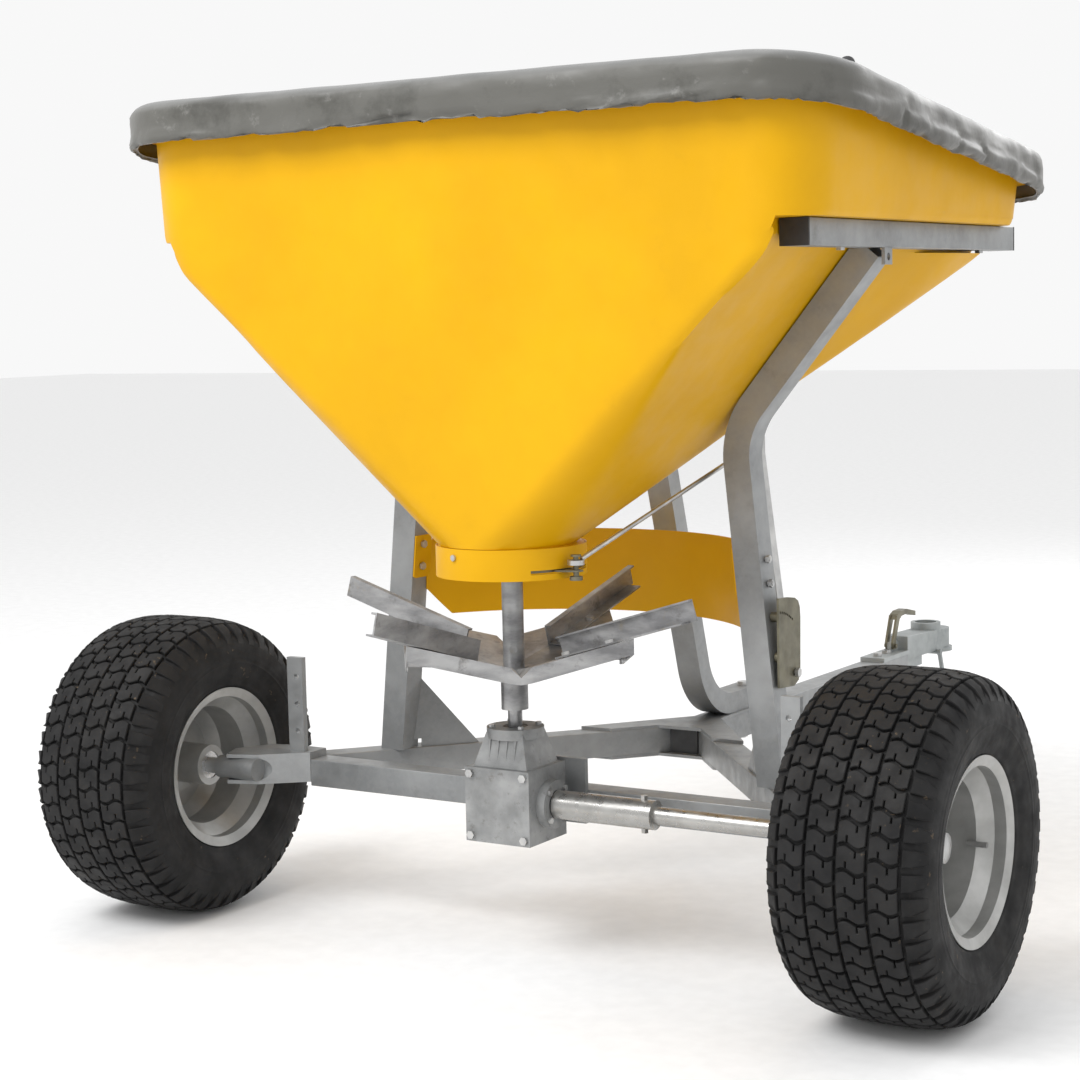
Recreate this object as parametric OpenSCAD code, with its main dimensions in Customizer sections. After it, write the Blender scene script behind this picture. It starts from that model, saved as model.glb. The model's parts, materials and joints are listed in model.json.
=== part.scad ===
// Trailed garden spreader, driven by its right wheel. Units are millimetres, +Z is up and +Y
// runs forward to the hitch. The origin is on the ground, in the middle of the footprint.
// Inside the modules Y is counted from the axle line, and at_axle() moves it into place.

/* [Wheels] */
// Tyre outside diameter
tyre_d = 559; // [555:1:565]
// Tyre section width
tyre_w = 264; // [256:1:268]
// Rim flange diameter
rim_d = 300; // [296:1:304]
// Distance between the tyre centre planes
track_w = 1498; // [1490:1:1510]

/* [Frame] */
// Outside size of the square chassis tubes
tube_s = 50; // [46:1:50]
// Wall of the chassis tubes
tube_t = 3; // [2:0.5:4]
// Top of the chassis above the ground
deck_z = 294; // [292:1:296]
// Width of the drawbar
drawbar_w = 60; // [56:1:60]
// Front end of the drawbar, ahead of the axle
drawbar_end = 1700; // [1690:1:1710]

/* [Hopper] */
// Half width of the hopper band
hopper_hw = 655; // [650:1:658]
// Rear wall, behind the axle
hopper_rear = 152; // [150:1:155]
// Front wall, ahead of the axle
hopper_front = 796; // [790:1:800]
// Corner radius of the band
hopper_r = 100; // [90:1:110]
// Fold between the band and the funnel
fold_z = 1262; // [1260:1:1264]
// Rim height at the rear wall
rim_z = 1462; // [1456:1:1466]
// Slope of the rim, falling to the front, in degrees
rim_slope = 7; // [6:0.5:8]
// Wall of the hopper
hopper_t = 6; // [5:0.5:7]
// Radius of the outlet ring
outlet_r = 130; // [128:1:132]

/* [Spreading] */
// Gearbox and spinner axis, right of the middle
spin_x = 20; // [15:1:25]
// Radius at the vane tips
vane_tip_r = 374; // [360:1:380]
// Rise of the vanes, in degrees
vane_rise = 16.5; // [16:0.5:17]
// Width of the parking leg
leg_s = 40; // [36:1:40]

/* [Hidden] */
$fn = 48;

axle_z = tyre_d / 2;
nose_y = 1975;                               // front of the hitch coupler, ahead of the axle
vane_a = -4;                                 // direction of the first vane
axle_y = -(nose_y - vane_tip_r * cos(vane_a)) / 2;   // the rear vane is the rearmost point
wheel_x = track_w / 2;
cross_y = 66;                                // rear face of the crossmember
cross_front = cross_y + tube_s;
deck_low = deck_z - tube_s;
cross_half = 484;                            // half length of the crossmember
drawbar_y = 648;                             // rear end of the drawbar
half_bar = drawbar_w / 2;
rail_turn = atan2(460, 391);                 // direction of the diagonal rails, from +X
lean = 5.8;                                  // inward lean of the uprights, in degrees
splay = 39.6;                                // outward lean above the bend
bend_r = 140;                                // bend radius on the upright's centre line
foot_x = 402;                                // upright foot, from the middle
foot_y = 240;                                // upright foot, ahead of the axle
bend_run = 620;                              // foot to the point where the two legs' lines cross
beam_x = 575;                                // inner face of the side beams
beam_w = 50;
beam_h = 43;
beam_z = fold_z - 4 - beam_h;
beam_rear = -75;
beam_front = 800;
neck_z = 730;                                // bottom of the funnel
ring_z = 676;                                // bottom of the outlet ring
ring_t = 3;
wall_foot = outlet_r - ring_t - 1;           // funnel's radius at its bottom
funnel_a = atan2(fold_z - 2 - neck_z, hopper_front - wall_foot);   // slope of its front wall
shutter_z = 688;                             // underside of the shutter disc
floor_z = 694;                               // underside of the floor plate
plate_t = 4;
shaft_r = 15;                                // drive shaft
stub_r = 21;                                 // stub axle
out_r = 12.5;                                // gearbox output shaft
run_gap = 0.05;                              // radial running clearance
box_w = 130;                                 // gearbox width and height
box_rear = -54;
box_front = 56;
bolt_d = 8;

module at_axle() translate([0, axle_y, 0]) children();
module both_sides() for (s = [0, 1]) mirror([s, 0, 0]) children();
module left_side() mirror([1, 0, 0]) children();
module along_x(x) translate([x, 0, 0]) rotate([0, 90, 0]) children();
module along_y(y) translate([0, y, 0]) rotate([-90, 0, 0]) children();
module block(low, high) translate(low) cube(high - low);

// A tube or ring about Z
module ring(outer, inner, h) difference() {
    cylinder(r = outer, h = h);
    translate([0, 0, -1]) cylinder(r = inner, h = h + 2);
}
// A square tube along X, from x = 0, centred on the axis
module square_tube(len, w = tube_s, h = tube_s) difference() {
    translate([0, -w / 2, -h / 2]) cube([len, w, h]);
    translate([-1, tube_t - w / 2, tube_t - h / 2]) cube([len + 2, w - 2 * tube_t, h - 2 * tube_t]);
}
// A hex bolt pointing down -Z from its seat at z = 0: head above, shank and nut below
module bolt(d, grip, nut = true) {
    cylinder(d = 1.9 * d, h = 0.65 * d, $fn = 6);
    translate([0, 0, -grip - (nut ? d : 0)]) cylinder(d = d, h = grip + (nut ? d : 0) + 0.1);
    if (nut) translate([0, 0, -grip - 0.8 * d]) cylinder(d = 1.85 * d, h = 0.8 * d, $fn = 6);
}
// The hole that a bolt of diameter d needs
module drill(d, len) translate([0, 0, -len]) cylinder(d = d + 0.6, h = 2 * len);

// A rounded column: the hopper's plan shape, grown outward by g, from z0 to z1
module hopper_column(g, z0, z1) {
    r = hopper_r + g;
    hw = hopper_hw + g;
    y0 = -hopper_rear - g;
    y1 = hopper_front + g;
    block([-hw + r, y0, z0], [hw - r, y1, z1]);
    block([-hw, y0 + r, z0], [hw, y1 - r, z1]);
    for (x = [-hw + r, hw - r], y = [y0 + r, y1 - r]) translate([x, y, z0]) cylinder(r = r, h = z1 - z0);
}
// Everything under the rim plane, raised by lift
module below_rim(lift) translate([0, -hopper_rear, rim_z + lift]) rotate([-rim_slope, 0, 0])
    translate([-900, -300, -600]) cube([1800, 1600, 600]);
module above_rim(lift) translate([0, -hopper_rear, rim_z + lift]) rotate([-rim_slope, 0, 0])
    translate([-900, -300, 0]) cube([1800, 1600, 600]);

// ---------------------------------------------------------------- chassis
module crossmember() color("lightslategray") at_axle() difference() {
    translate([-cross_half, cross_y + tube_s / 2, deck_z - tube_s / 2]) square_tube(2 * cross_half);
    for (x = [-40, 60], z = [-10, 10]) translate([spin_x + x, 0, deck_z - tube_s / 2 + z])
        along_y(cross_y) translate([0, 0, -1]) cylinder(d = bolt_d + 0.6, h = tube_t + 2);
}
module rail() difference() {
    intersection() {
        translate([half_bar, drawbar_y, deck_z - tube_s / 2]) rotate([0, 0, -rail_turn])
            translate([-200, tube_s / 2, 0]) square_tube(1100);
        block([half_bar, cross_front, 0], [700, 900, 400]);
    }
}
module left_rail() color("lightslategray") at_axle() left_side() rail();
module right_rail() color("lightslategray") at_axle() rail();
// Outline of the plates over the joint of rails and drawbar, with a hollow curve on each side
module joint_outline(tail) {
    hollow = [for (a = [0 : 9 : 90]) [half_bar + 150 * (1 - sin(a)), 745 - 195 * (1 - cos(90 - a))]];
    right = concat([[48, 628], [112, 552]], [for (i = [0 : len(hollow) - 1]) hollow[i]],
        [[half_bar, tail]]);
    left = [for (i = [len(right) - 1 : -1 : 0]) [-right[i][0], right[i][1]]];
    polygon(concat(right, left));
}
module junction_plates() color("silver") at_axle() {
    difference() {
        translate([0, 0, deck_z]) linear_extrude(6) joint_outline(960);
        translate([0, 900, deck_z]) cylinder(d = 12.6, h = 30, center = true);
    }
    translate([0, 0, deck_low - 6]) linear_extrude(6) joint_outline(760);
}
module drawbar() color("lightslategray") at_axle() difference() {
    translate([0, drawbar_y, deck_z - tube_s / 2]) rotate([0, 0, 90])
        square_tube(drawbar_end - drawbar_y, drawbar_w, tube_s);
    translate([0, 900, deck_z]) drill(12, 60);
    for (y = hitch_bolt_y) translate([0, y, deck_z]) drill(12, 60);
    translate([0, leg_y, leg_z]) rotate([0, 90, 0]) cylinder(d = 12.1, h = 90, center = true);
}
module end_cap(w, h) {
    translate([-w / 2, -4, -h / 2]) cube([w, 4, h]);
    translate([tube_t - w / 2 + 0.2, 0, tube_t - h / 2 + 0.2])
        cube([w - 2 * tube_t - 0.4, 14, h - 2 * tube_t - 0.4]);
}
module plastic_end_caps() color("black") at_axle() {
    translate([0, drawbar_y, deck_z - tube_s / 2]) end_cap(drawbar_w, tube_s);
    both_sides() translate([beam_x + beam_w / 2, 0, beam_z + beam_h / 2]) {
        translate([0, beam_rear, 0]) end_cap(beam_w, beam_h);
        translate([0, beam_front, 0]) rotate([0, 0, 180]) end_cap(beam_w, beam_h);
    }
}
// Box from the crossmember's end out and back to the axle, between a top and a bottom plate
module axle_bracket() difference() {
    union() {
        translate([0, 0, axle_z - stub_r - 7]) linear_extrude(2 * stub_r + 14)
            polygon([[484, 66], [558, 6], [572, 56], [552, 116], [484, 116]]);
        for (z = [axle_z - stub_r - 7, axle_z + stub_r]) translate([0, 0, z]) linear_extrude(7)
            polygon([[492, 62], [558, 4], [617, -17], [640, 38], [600, 104], [548, 116], [492, 116]]);
    }
    translate([0, 0, axle_z - stub_r + 1]) linear_extrude(2 * stub_r - 2)
        polygon([[491, 70], [552, 21], [565, 56], [546, 109], [491, 109]]);
    translate([0, 0, axle_z]) along_x(480) cylinder(r = stub_r, h = 180);
}
module left_axle_bracket() color("silver") at_axle() left_side() axle_bracket();
module right_axle_bracket() color("silver") at_axle() {
    axle_bracket();
    translate([0, 0, axle_z]) along_x(576) ring(stub_r + 4, stub_r, 62);
}
module scraper_bars() color("darkgray") at_axle() both_sides() difference() {
    block([497, cross_y, axle_z + stub_r + 7], [532, cross_y + 12, 486]);
    for (z = [346, 398, 450]) translate([511, cross_y, z]) rotate([90, 0, 0]) drill(10, 20);
}
// One bent upright, standing on its rail and reaching the side beam
module upright_path(w, grow = 0) translate([foot_x, foot_y, deck_z]) {
    turn = lean + splay;
    setback = bend_r * tan(turn / 2);
    top_run = 395;
    rotate([0, -lean, 0]) {
        translate([-w / 2, -w / 2, -30]) cube([w, w, 30 + bend_run - setback]);
        translate([bend_r, 0, bend_run - setback]) rotate([90, 0, 0]) rotate([0, 0, 180 - turn])
            rotate_extrude(angle = turn, $fn = 64) translate([bend_r, 0]) square(w, center = true);
        translate([0, 0, bend_run]) rotate([0, turn, 0])
            translate([-w / 2, -w / 2, setback]) cube([w, w, top_run - setback + grow]);
    }
}
module upright() difference() {
    intersection() {
        upright_path(tube_s);
        block([200, 100, deck_z], [700, 400, beam_z]);
    }
    intersection() {
        upright_path(tube_s - 2 * tube_t, 20);
        block([200, 100, deck_z - 50], [700, 400, beam_z + 50]);
    }
    for (z = deflector_bolt_z) translate([380, deflector_bolt_y, z]) along_x(0) drill(bolt_d, 60);
}
module left_upright() color("slategray") at_axle() left_side() upright();
module right_upright() color("slategray") at_axle() upright();
// Triangular gusset on the rail, at the inner side of each upright, with a notch at its corner
module upright_gussets() color("slategray") at_axle() both_sides() intersection() {
    translate([foot_x - 26, foot_y + 14, deck_z]) rotate([90, 0, 180 - rail_turn])
        linear_extrude(6, center = true)
            polygon([[14, 0], [128, 0], [8, 142], [-10, 142], [-4, 16], [14, 16]]);
    difference() {
        block([200, 200, deck_z], [500, 500, 500]);
        upright_path(tube_s + 0.4);
    }
}
module side_beam() difference() {
    translate([beam_x + beam_w / 2, beam_rear, beam_z + beam_h / 2]) rotate([0, 0, 90])
        square_tube(beam_front - beam_rear, beam_w, beam_h);
    for (y = beam_bolt_y) translate([beam_x + beam_w / 2, y, beam_z]) drill(bolt_d, 80);
}
beam_bolt_y = [90, 690];
module left_side_beam() color("darkgray") at_axle() left_side() side_beam();
module right_side_beam() color("darkgray") at_axle() side_beam();
lug_y = 209;
module tie_down_lugs() color("silver") at_axle() both_sides() difference() {
    block([beam_x + beam_w - 6, lug_y, beam_z - 28], [beam_x + beam_w, lug_y + 30, beam_z]);
    translate([beam_x + beam_w - 3, lug_y + 15, beam_z - 15]) rotate([0, 90, 0]) drill(12, 20);
}
module beam_bolts() both_sides() for (y = beam_bolt_y)
    translate([beam_x + beam_w / 2, y, beam_z]) rotate([180, 0, 0]) bolt(bolt_d, beam_h + 7, false);

// Bent post from the drawbar up to the front of the funnel
post_lean = 16.6;
post_w = 50;
post_d = 42;
post_r = 128;
post_y = 716;                                // corner of the bend, ahead of the axle
post_z = deck_z + 6 + post_d / 2;
post_run = ((post_y - wall_foot) * sin(funnel_a) + (neck_z + 1 - post_z) * cos(funnel_a) - 6.3)
    / cos(funnel_a - post_lean);             // bend corner to the saddle under the funnel
module front_post_path(w, d) {
    turn = 90 - post_lean;
    setback = post_r * tan(turn / 2);
    translate([0, post_y, post_z]) {
        translate([-w / 2, setback, -d / 2]) cube([w, 238 - setback, d]);
        translate([0, setback, post_r]) rotate([90, 0, 90]) rotate([0, 0, -90 - turn])
            rotate_extrude(angle = turn, $fn = 96) translate([post_r, 0]) square([d, w], center = true);
        rotate([post_lean, 0, 0]) translate([-w / 2, -d / 2, setback])
            cube([w, d, post_run + 30 - setback]);
    }
}
module at_saddle() translate([0, post_y, post_z]) rotate([post_lean, 0, 0])
    translate([0, 0, post_run]) rotate([funnel_a - post_lean, 0, 0]) children();
module front_post() color("slategray") at_axle() difference() {
    union() {
        difference() {
            front_post_path(post_w, post_d);
            front_post_path(post_w - 2 * tube_t, post_d - 2 * tube_t);
            at_saddle() translate([-60, -60, 0]) cube([120, 120, 60]);
        }
        at_saddle() translate([-60, -45, 0]) cube([120, 90, 6]);
    }
    translate([0, 900, deck_z]) drill(12, 80);
    at_saddle() for (x = [-42, 42]) translate([x, 0, 0]) drill(bolt_d, 20);
}
module front_post_bolts() {
    translate([0, 900, deck_z + 6 + post_d]) bolt(12, post_d + 6 + tube_s);
    at_saddle() for (x = [-42, 42]) translate([x, 0, 0]) rotate([180, 0, 0])
        bolt(bolt_d, 6.3 + hopper_t + 6);
}

// ---------------------------------------------------------------- hopper and outlet
// Plan outline of the hopper with corner radius r, grown by g, as a slab from z up to z + h
module hopper_slab(g, r, z, h) {
    hw = hopper_hw + g;
    for (x = [-hw + r, hw - r], y = [-hopper_rear - g + r, hopper_front + g - r])
        translate([x, y, z]) cylinder(r = r, h = h, $fn = 40);
}
// Straight-walled funnel down to the outlet; its corners are a little sharper under the fold
module funnel(g, top) hull() {
    hopper_slab(g, hopper_r + g, top - 1, 1);
    translate([0, 0, top - 62]) linear_extrude(1) hull() {
        for (x = [-1, 1]) {
            translate([x * 540 + (x > 0 ? 5 : 0), -93]) circle(r = 56 + g, $fn = 40);
            translate([x * 540 + (x > 0 ? 5 : 0), 662]) circle(r = 56 + g, $fn = 40);
        }
    }
    translate([spin_x, -12, neck_z]) cylinder(r = wall_foot - 9 + g, h = 1, $fn = 48);
}
module band(g) hull() {
    hopper_slab(g, hopper_r + g, fold_z, 1);
    hopper_slab(g + 12, hopper_r + g + 12, rim_z + 30, 1);
}
module frame_recess(g) intersection() {
    block([-900, -900, 0], [900, 900, fold_z - 3 + g]);
    both_sides() recess_side(g);
}
module recess_side(g) {
    block([beam_x - g, beam_rear - 56, beam_z - 2 - g], [900, beam_front + 12 + g, beam_z + beam_h + g]);
    for (y = beam_bolt_y) translate([beam_x + beam_w / 2, y, beam_z - 14]) cylinder(r = 12 + g, h = 20);
    // flat inset panel under the band, which the upright's sloping leg lies along
    translate([foot_x, foot_y, deck_z]) rotate([0, -lean, 0]) translate([0, 0, bend_run])
        rotate([0, lean + splay, 0]) translate([-tube_s / 2 - g, -foot_y, -120]) linear_extrude(720)
            polygon([[0, -128], [0, 330], [44, 650], [200, 650], [200, -128]]);
}
module hopper() color("gold") at_axle() difference() {
    union() {
        intersection() {
            union() {
                band(0);
                intersection() {
                    hopper_column(40, fold_z, rim_z + 30);
                    above_rim(-8);
                }
            }
            below_rim(0);
        }
        difference() {
            funnel(0, fold_z + 1);
            frame_recess(3);
        }
        translate([spin_x, 0, floor_z + plate_t]) cylinder(r = wall_foot, h = neck_z - floor_z - plate_t + 1);
    }
    band(-hopper_t);
    difference() {
        funnel(-hopper_t, fold_z + 2);
        frame_recess(3 + hopper_t);
    }
    translate([spin_x, 0, 0]) cylinder(r = wall_foot - hopper_t - 4, h = neck_z + 5);
    at_saddle() for (x = [-42, 42]) translate([x, 0, 0]) drill(bolt_d, 30);
    both_sides() for (y = beam_bolt_y) translate([beam_x + beam_w / 2, y, beam_z + beam_h]) drill(bolt_d, 12);
}
module outlet_ring() color("gold") at_axle() translate([spin_x, 0, 0]) difference() {
    translate([0, 0, ring_z]) ring(outlet_r, outlet_r - ring_t, neck_z - ring_z - 1);
    rotate([0, 0, -43]) translate([0, 0, shutter_z - 2]) rotate_extrude(angle = 64)
        translate([outlet_r - 20, 0]) square([40, plate_t + 3]);
    for (a = outlet_bolt_a) rotate([0, 0, a]) translate([outlet_r, 0, floor_z + 20])
        rotate([0, 90, 0]) drill(6, 20);
}
outlet_bolt_a = [75, 165, 255];
apertures = [30, 150, 270];
module floor_plate() color("silver") at_axle() translate([spin_x, 0, floor_z]) difference() {
    cylinder(r = outlet_r - ring_t - 0.2, h = plate_t);
    translate([0, 0, -1]) cylinder(r = 24, h = plate_t + 2);
    for (a = apertures) rotate([0, 0, a]) translate([82, 0, -1]) cylinder(d = 50, h = plate_t + 2);
}
module outlet_bolts() translate([spin_x, 0, floor_z + 20])
    for (a = outlet_bolt_a) rotate([0, 0, a]) translate([outlet_r, 0, 0]) rotate([0, 90, 0])
        bolt(6, 2, false);
// Curved guard in front of the spinner, with a flange against each upright
deflector_z = 550;
deflector_h = 157;
deflector_bolt_z = [648, 690];
deflector_bolt_y = 238;
deflector_half = 345;
deflector_end_y = 262;
module deflector() color("gold") at_axle() {
    sag = 213;
    arc_r = (deflector_half * deflector_half + sag * sag) / (2 * sag);
    sweep = 2 * asin(deflector_half / arc_r);
    difference() {
        union() {
            translate([0, deflector_end_y + sag - arc_r, deflector_z]) rotate([0, 0, 90 - sweep / 2])
                rotate_extrude(angle = sweep, $fn = 180) translate([arc_r - 3, 0])
                    square([3, deflector_h]);
            both_sides() intersection() {
                translate([upright_inner(630), 0, 630]) rotate([0, -lean, 0])
                    translate([-3.2, 216, -100]) cube([3, 52, 200]);
                block([200, 0, 626], [500, 400, deflector_z + deflector_h]);
            }
        }
        translate([-500, 0, 0]) rotate([90, 0, 90]) linear_extrude(1000)
            polygon([[200, 500], [310, 500], [310, 547], [265, 599], [200, 640]]);
        both_sides() for (z = deflector_bolt_z) translate([330, deflector_bolt_y, z]) along_x(0)
            drill(bolt_d, 60);
        both_sides() translate([upright_inner(630), 0, 630]) rotate([0, -lean, 0])
            translate([-0.2, 200, -120]) cube([60, 90, 240]);
    }
}
module deflector_bolts() both_sides() for (z = deflector_bolt_z)
    translate([upright_inner(z) - 4.2, deflector_bolt_y, z]) rotate([0, -90, 0]) bolt(bolt_d, tube_s + 7);
module plastics_bolts() color("lightgray") at_axle() {
    outlet_bolts();
    deflector_bolts();
}
function upright_inner(z) = foot_x - tube_s / 2 / cos(lean) - (z - deck_z) * tan(lean);

// ---------------------------------------------------------------- gearbox
half_box = box_w / 2;
neck_top = 402;
module gearbox_housing() color("gray") at_axle() translate([spin_x, 0, axle_z]) {
    low = neck_top - axle_z;
    difference() {
        union() {
            block([-half_box, box_rear, -half_box], [half_box, box_front, half_box]);
            hull() {
                block([-54, box_rear + 2, half_box - 1], [54, 50, half_box]);
                block([-37, -36, low - 1], [37, 36, low]);
            }
            translate([0, 0, low - 10]) cylinder(r = 50, h = 18);
            along_x(half_box - 1) cylinder(r = 42, h = 17);
            along_x(-half_box - 9) cylinder(r = 40, h = 10);
            for (x = [-30, -10, 10, 30]) translate([x * 0.86, box_rear + 8, half_box - 1])
                rotate([-11, 0, -x / 90]) translate([-1.5, -5, 0]) cube([3, 14, 52]);
        }
        block([-half_box + 8, box_rear - 1, -half_box + 8], [half_box - 8, box_front - 8, half_box - 8]);
        along_x(0) cylinder(r = 31, h = half_box + 8);
        along_x(half_box) cylinder(r = 24, h = 30);
        mirror([1, 0, 0]) along_x(0) cylinder(r = 31, h = half_box + 4);
        cylinder(r = 23.5, h = low + 2);
        translate([0, 0, low - 2]) cylinder(r = 22, h = 30);
        for (x = [-54, 54], z = [-54, 54]) translate([x, box_rear, z]) along_y(-2)
            cylinder(d = bolt_d, h = 26);
    }
}
module gearbox_rear_cover() color("gray") at_axle() translate([spin_x, 0, axle_z]) difference() {
    block([-half_box, box_rear - 10, -half_box], [half_box, box_rear, half_box]);
    block([-half_box + 14, box_rear - 4, -half_box + 14], [half_box - 14, box_rear + 1, half_box - 14]);
    for (x = [-54, 54], z = [-54, 54]) translate([x, 0, z]) along_y(box_rear - 12)
        cylinder(d = bolt_d + 0.6, h = 20);
}
module gearbox_bolts() color("silver") at_axle() translate([spin_x, 0, axle_z]) {
    for (x = [-54, 54], z = [-54, 54]) translate([x, box_rear - 10, z]) rotate([90, 0, 0])
        bolt(bolt_d, 30, false);
    for (a = [45 : 90 : 315]) along_x(half_box + 16) rotate([0, 0, a]) translate([34, 0, 0])
        cylinder(d = 11, h = 5, $fn = 6);
    for (a = [45 : 90 : 315]) rotate([0, 0, a]) translate([41, 0, neck_top - axle_z + 8])
        cylinder(d = 11, h = 5, $fn = 6);
}
module gearbox_mount_plate() color("silver") at_axle() {
    difference() {
        block([spin_x - 75, box_front, 236], [spin_x + 105, cross_y, 350]);
        for (x = [-40, 60], z = [-10, 10]) translate([spin_x + x, 0, deck_z - tube_s / 2 + z])
            along_y(cross_y) translate([0, 0, -20]) cylinder(d = bolt_d + 0.6, h = 40);
    }
}
module input_bearings() color("lightsteelblue") at_axle() translate([spin_x, 0, axle_z]) {
    along_x(half_box - 18) ring(31, shaft_r + run_gap, 16);
    along_x(-half_box - 3) ring(31, shaft_r + run_gap, 16);
}
module output_bearings() color("lightsteelblue") at_axle() translate([spin_x, 0, axle_z])
    for (z = [half_box + 2, neck_top - axle_z - 16]) translate([0, 0, z])
        ring(23.5, out_r + run_gap, 12);
module shaft_seals() color("black") at_axle() translate([spin_x, 0, axle_z]) {
    along_x(half_box + 6) ring(24, shaft_r + run_gap, 12);
    translate([0, 0, neck_top - axle_z - 2]) ring(22, out_r + run_gap, 9);
}
module right_axle_bearings() color("lightsteelblue") at_axle() translate([0, 0, axle_z])
    for (x = [577, 621]) along_x(x) ring(stub_r, shaft_r + run_gap, 16);
module left_stub_axle() color("silver") at_axle() left_side() translate([0, 0, axle_z]) {
    along_x(556) cylinder(r = stub_r, h = 90);
    along_x(646) cylinder(r = shaft_r, h = wheel_x + 46 - 646);
}

// ---------------------------------------------------------------- wheels
// Tyre and rim outlines are [radius, distance outward from the tyre's centre plane]
module tyre() {
    r = tyre_d / 2;
    w = tyre_w / 2;
    bead = seat_r;
    rotate_extrude($fn = 96) polygon([
        [r, -w * 0.32], [r, w * 0.32], [r - 3, w * 0.58], [r - 10, w * 0.79], [r - 20, w * 0.9],
        [r - 36, w * 0.97], [r - 62, w], [r - 88, w * 0.99], [r - 108, w * 0.95],
        [bead + 14, w * 0.87], [bead, w * 0.82],
        [bead, w * 0.7], [bead + 14, w * 0.78], [r - 104, w * 0.86], [r - 62, w * 0.9],
        [r - 40, w * 0.82], [r - 28, w * 0.6], [r - 22, 0], [r - 28, -w * 0.6],
        [r - 40, -w * 0.82], [r - 62, -w * 0.9], [r - 104, -w * 0.86], [bead + 14, -w * 0.78],
        [bead, -w * 0.7], [bead, -w * 0.82], [bead + 14, -w * 0.87], [r - 108, -w * 0.95],
        [r - 88, -w * 0.99], [r - 62, -w], [r - 36, -w * 0.97], [r - 20, -w * 0.9],
        [r - 10, -w * 0.79], [r - 3, -w * 0.58]]);
}
seat_r = rim_d / 2 - 13;                     // radius of the bead seats
module rim() {
    w = tyre_w / 2;
    rotate_extrude($fn = 96) polygon([
        [seat_r + 13, w * 0.893], [seat_r + 13, w * 0.878], [seat_r, w * 0.824], [seat_r, w * 0.68],
        [seat_r - 22, w * 0.5], [seat_r - 22, -w * 0.5], [seat_r, -w * 0.68], [seat_r, -w * 0.824],
        [seat_r + 13, -w * 0.878], [seat_r + 13, -w * 0.893], [seat_r - 4, -w * 0.842],
        [seat_r - 4, -w * 0.69], [seat_r - 26, -w * 0.52], [seat_r - 26, w * 0.52],
        [seat_r - 4, w * 0.69], [seat_r - 4, w * 0.842]]);
}
// Dished disc welded inside the rim, with the stud holes
module wheel_disc() difference() {
    edge = seat_r - 26.05;
    rotate_extrude($fn = 96) polygon([[edge, -10], [edge - 18, 14], [64, 14], [64, 10], [36, 10],
        [36, 15], [60, 15], [60, 19], [edge - 16, 19], [edge, 2]]);
    for (a = stud_a) rotate([0, 0, a]) translate([stud_r, 0, 0]) cylinder(d = 12.6, h = 30);
}
stud_a = [0, 72, 144, 216, 288];
stud_r = 48;
module hub(bore) difference() {
    union() {
        translate([0, 0, -78]) cylinder(r = 38, h = 80);
        cylinder(r = 58, h = 10);
        cylinder(r = 35.8, h = 20);
    }
    translate([0, 0, -80]) cylinder(r = bore, h = 110);
    for (a = stud_a) rotate([0, 0, a]) translate([stud_r, 0, -1]) cylinder(d = 12.6, h = 30);
}
module wheel_trim() {
    for (a = stud_a) rotate([0, 0, a]) translate([stud_r, 0, 0]) {
        translate([0, 0, 15]) cylinder(d = 19, h = 10, $fn = 6);
        translate([0, 0, -6]) cylinder(d = 12, h = 34);
        translate([0, 0, -6]) cylinder(d = 19, h = 6, $fn = 6);
    }
    difference() {
        translate([0, 0, 20]) cylinder(r = 24, h = 42);
        translate([0, 0, 19]) cylinder(r = 20, h = 39);
    }
    translate([0, 0, 62]) intersection() {
        translate([0, 0, -60]) sphere(r = 64.6);
        cylinder(r = 24, h = 20);
    }
    rotate([0, 0, -8]) translate([0, rim_d / 2 - 45, 56]) cylinder(r = 5, h = 34);
}
module right_wheel_place() at_axle() translate([wheel_x, 0, axle_z]) rotate([0, 90, 0]) children();
module left_wheel_place() at_axle() translate([-wheel_x, 0, axle_z]) rotate([0, -90, 0]) children();
module left_tyre() color("dimgray") left_wheel_place() tyre();
module right_tyre() color("dimgray") right_wheel_place() tyre();
module left_rim() color("silver") left_wheel_place() rim();
module right_rim() color("silver") right_wheel_place() rim();
module left_wheel_disc() color("silver") left_wheel_place() wheel_disc();
module right_wheel_disc() color("silver") right_wheel_place() wheel_disc();
module left_hub() color("gray") left_wheel_place() hub(26);
module right_hub() color("gray") right_wheel_place() hub(shaft_r);
module left_wheel_bearings() color("lightsteelblue") left_wheel_place()
    for (z = [-76, 2]) translate([0, 0, z]) ring(26, shaft_r + run_gap, 16);
module left_wheel_trim() color("lightgray") left_wheel_place() wheel_trim();
module right_wheel_trim() color("lightgray") right_wheel_place() wheel_trim();
sleeve_x0 = spin_x + 84;
sleeve_x1 = 296;
module drive_shaft() color("silver") at_axle() translate([0, 0, axle_z])
    along_x(spin_x - half_box - 3) cylinder(r = shaft_r, h = wheel_x + 18 - spin_x + half_box + 3);
module drive_sleeve() color("silver") at_axle() translate([0, 0, axle_z]) difference() {
    union() {
        along_x(sleeve_x0) cylinder(r = 25, h = sleeve_x1 - sleeve_x0);
        for (a = [0, 180]) translate([sleeve_x1 - 22, 0, 0]) rotate([a, 0, 0]) translate([0, 0, 24])
            cylinder(d = 13, h = 8, $fn = 6);
    }
    along_x(0) cylinder(r = shaft_r, h = 400);
}

// ---------------------------------------------------------------- bevel gears
// Pitch cones meet where the axle line crosses the spinner axis
crown_teeth = 36;
pinion_teeth = 12;
crown_pr = 42;                               // pitch radii at the teeth's outer ends
pinion_pr = crown_pr * pinion_teeth / crown_teeth;
cone_l = sqrt(crown_pr * crown_pr + pinion_pr * pinion_pr);
cone_a = atan2(pinion_pr, crown_pr);
tooth_l = 10;
tooth_w = 2.4;
tip = 1.0;                                   // tooth height above the pitch cone
root = 1.5;
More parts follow.
